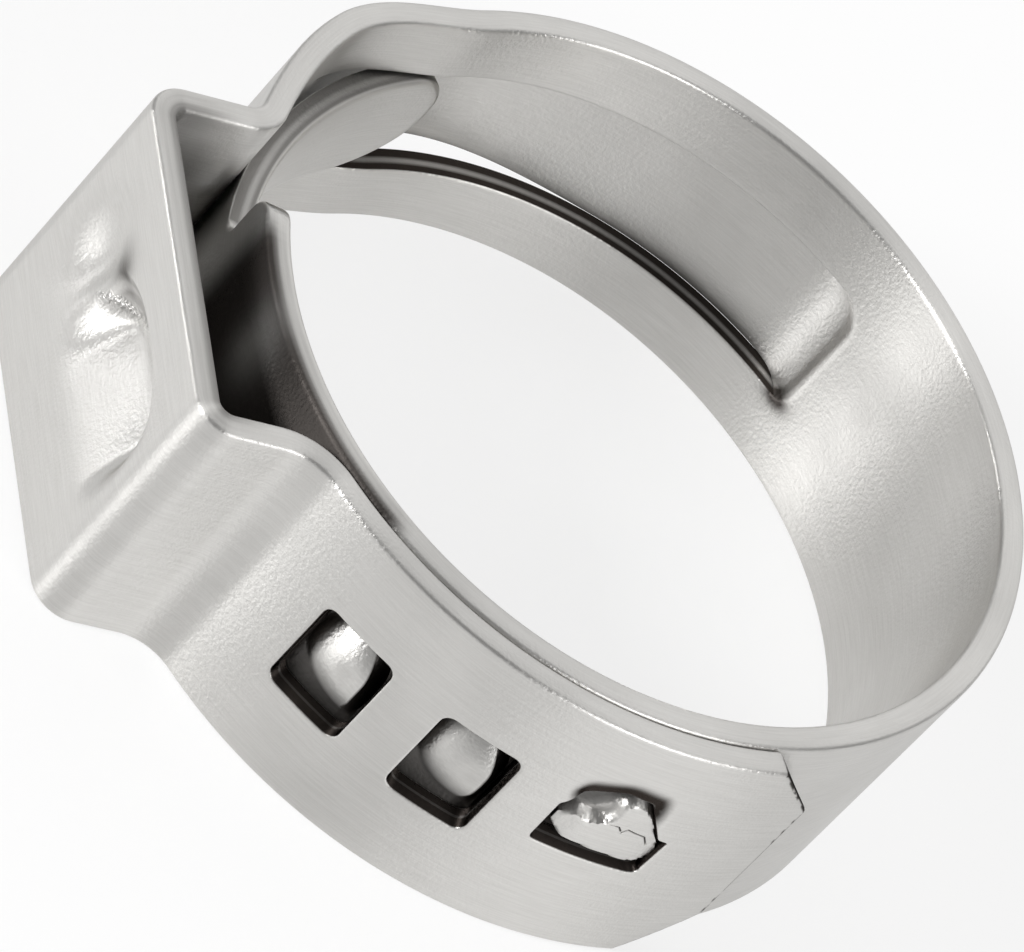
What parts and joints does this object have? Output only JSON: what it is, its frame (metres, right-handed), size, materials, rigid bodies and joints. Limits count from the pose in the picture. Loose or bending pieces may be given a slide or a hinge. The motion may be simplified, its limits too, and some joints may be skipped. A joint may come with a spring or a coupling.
{
  "type": "ear hose clamp",
  "caption": "Ear clamp made from one wrapped steel strip, with a dimpled ear, hooks that catch in strap windows, and a tongue that slides in a sheared channel.",
  "frame": {"origin": "on the bore axis, in the plane of the lower rim that the clamp lies on", "axes": "+Z along the bore axis, away from the lower rim; +Y from the bore axis through the middle of the ear; +X towards the hump over the tongue"},
  "size_m": [0.0206, 0.0214, 0.007],
  "materials": {
    "stainless_steel": "satin, with bright rolled rims"
  },
  "bodies": {
    "root": {"clamp_band": "stainless_steel"}
  },
  "joints": []
}
